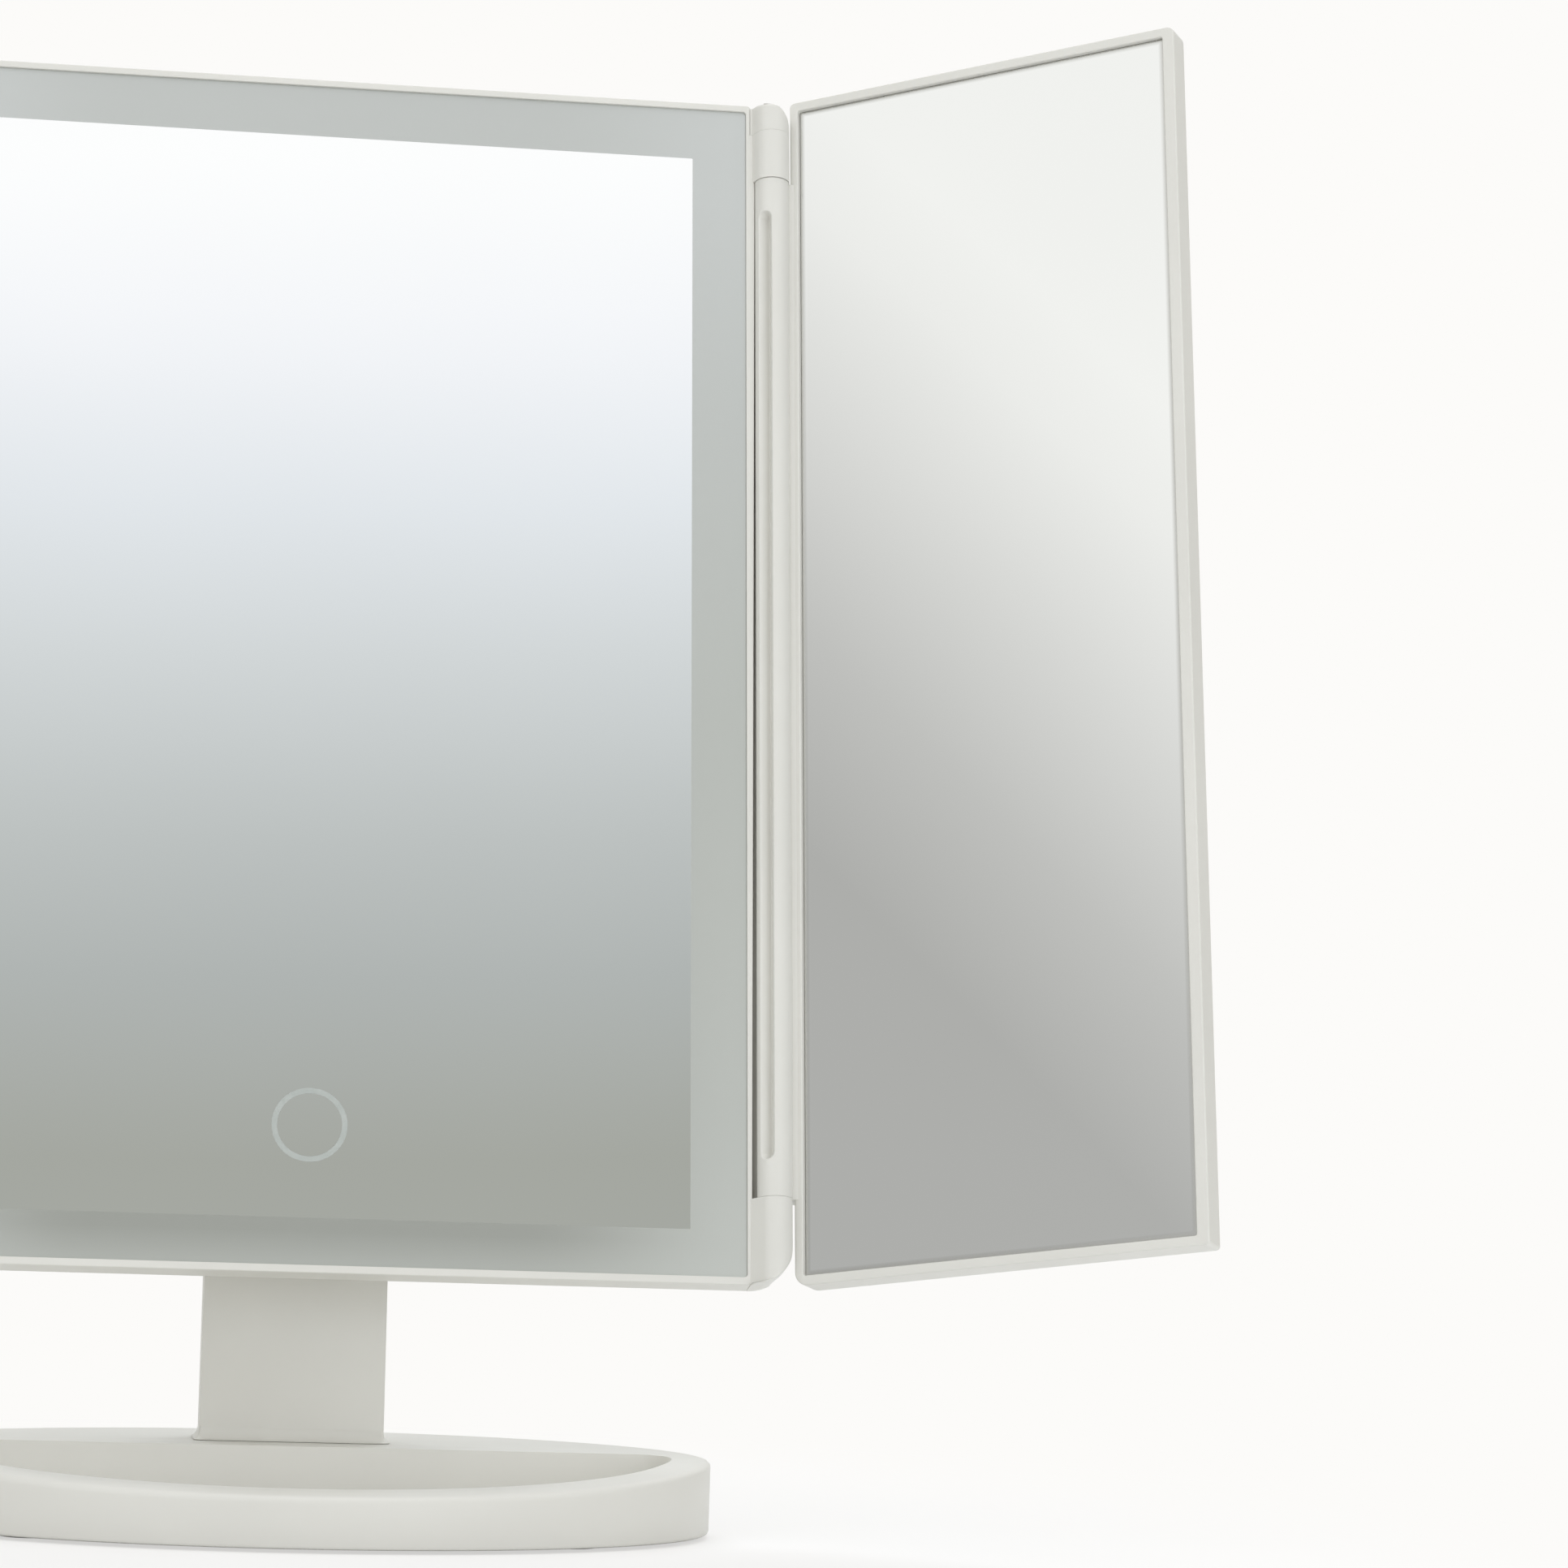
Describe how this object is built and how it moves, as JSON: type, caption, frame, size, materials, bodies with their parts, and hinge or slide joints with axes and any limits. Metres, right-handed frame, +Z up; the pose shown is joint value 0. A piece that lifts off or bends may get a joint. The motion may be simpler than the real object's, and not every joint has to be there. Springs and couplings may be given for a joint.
{
  "type": "trifold vanity mirror",
  "caption": "Lighted tabletop mirror with a frosted light band and touch ring, a folding mirror wing on each side, and a tilting neck on an oval tray base.",
  "frame": {"origin": "on the table, under the middle of the oval base", "axes": "+X to the viewer's right along the long axis of the base, +Y away from the viewer, +Z up"},
  "size_m": [0.3708, 0.125, 0.3338],
  "materials": {
    "shell_plastic": "satin off-white moulded ABS",
    "bottom_plastic": "fine matte underside",
    "inner_plastic": "plain moulded",
    "screw_steel": "zinc plated",
    "pin_steel": "ground",
    "strut_steel": "pressed sheet steel",
    "ballast_steel": "raw plate",
    "spring_steel": "nickel plated wire",
    "foot_rubber": "soft light grey",
    "washer_dark": "friction liner",
    "bush_plastic": "acetal",
    "mirror_glass": "silvered float glass",
    "frosted_glass": "etched translucent window in the mirror glass",
    "ring_glass": "etched line, lit from behind",
    "guide_acrylic": "clear acrylic with printed dots",
    "reflector_film": "white film",
    "circuit_green": "solder mask",
    "chip_black": "moulded packages",
    "strip_cream": "flexible strip",
    "led_yellow": "phosphor",
    "ribbon_amber": "polyimide film",
    "contact_metal": "nickel plated plate",
    "cell_sleeve": "plain printed sleeve",
    "wire_red": "insulated wire",
    "foam_dark": "double-sided foam"
  },
  "bodies": {
    "stand": {"base_shell": "shell_plastic", "base_bottom_cover": "bottom_plastic", "base_screws": "screw_steel", "ballast_plate": "ballast_steel", "rubber_feet": "foot_rubber", "neck_strut": "strut_steel", "neck_front_shell": "shell_plastic", "neck_rear_cover": "shell_plastic", "neck_screws": "screw_steel"},
    "lit_mirror": {"center_frame": "shell_plastic", "center_mirror": "mirror_glass", "frosted_light_band": "frosted_glass", "touch_ring": "ring_glass", "touch_sensor": "circuit_green", "sensor_ribbon": "ribbon_amber", "led_ribbon": "ribbon_amber", "light_guide": "guide_acrylic", "reflector_sheet": "reflector_film", "led_strip": "strip_cream", "led_chips": "led_yellow", "control_board": "circuit_green", "board_parts": "chip_black", "usb_socket": "pin_steel", "battery_case": "inner_plastic", "battery_cells": "cell_sleeve", "battery_contacts": "contact_metal", "battery_springs": "spring_steel", "battery_wires": "wire_red", "rear_cover": "shell_plastic", "tilt_bracket": "inner_plastic", "bracket_screws": "screw_steel", "pivot_pin": "pin_steel", "pivot_washers": "washer_dark", "pivot_caps": "shell_plastic", "right_hinge_pins": "pin_steel", "left_hinge_pins": "pin_steel", "right_hinge_cap": "shell_plastic", "left_hinge_cap": "shell_plastic"},
    "right_wing": {"right_wing_frame": "shell_plastic", "right_wing_mirror": "mirror_glass", "right_wing_foam": "foam_dark", "right_wing_back": "shell_plastic", "right_hinge_bushes": "bush_plastic"},
    "left_wing": {"left_wing_frame": "shell_plastic", "left_wing_mirror": "mirror_glass", "left_wing_foam": "foam_dark", "left_wing_back": "shell_plastic", "left_hinge_bushes": "bush_plastic"},
    "battery_door": {"battery_door": "shell_plastic"}
  },
  "joints": [
    {"name": "mirror_tilt", "type": "hinge", "parent": "stand", "child": "lit_mirror", "pos_m": [0, 0.04321, 0.13588], "axis": [-1, 0, 0], "range_deg": [-10, 45]},
    {"name": "right_wing_fold", "type": "hinge", "parent": "lit_mirror", "child": "right_wing", "pos_m": [0.0994, -0.0121, 0.05415], "axis": [0, -0.2512, -0.9679], "range_deg": [-33.5, 146.5]},
    {"name": "left_wing_fold", "type": "hinge", "parent": "lit_mirror", "child": "left_wing", "pos_m": [-0.0994, -0.0121, 0.05415], "axis": [0, 0.2512, 0.9679], "range_deg": [-33.5, 146.5]},
    {"name": "battery_door_swing", "type": "hinge", "parent": "lit_mirror", "child": "battery_door", "pos_m": [0, 0.04365, 0.1774], "axis": [-1, 0, 0], "range_deg": [0, 100]}
  ]
}
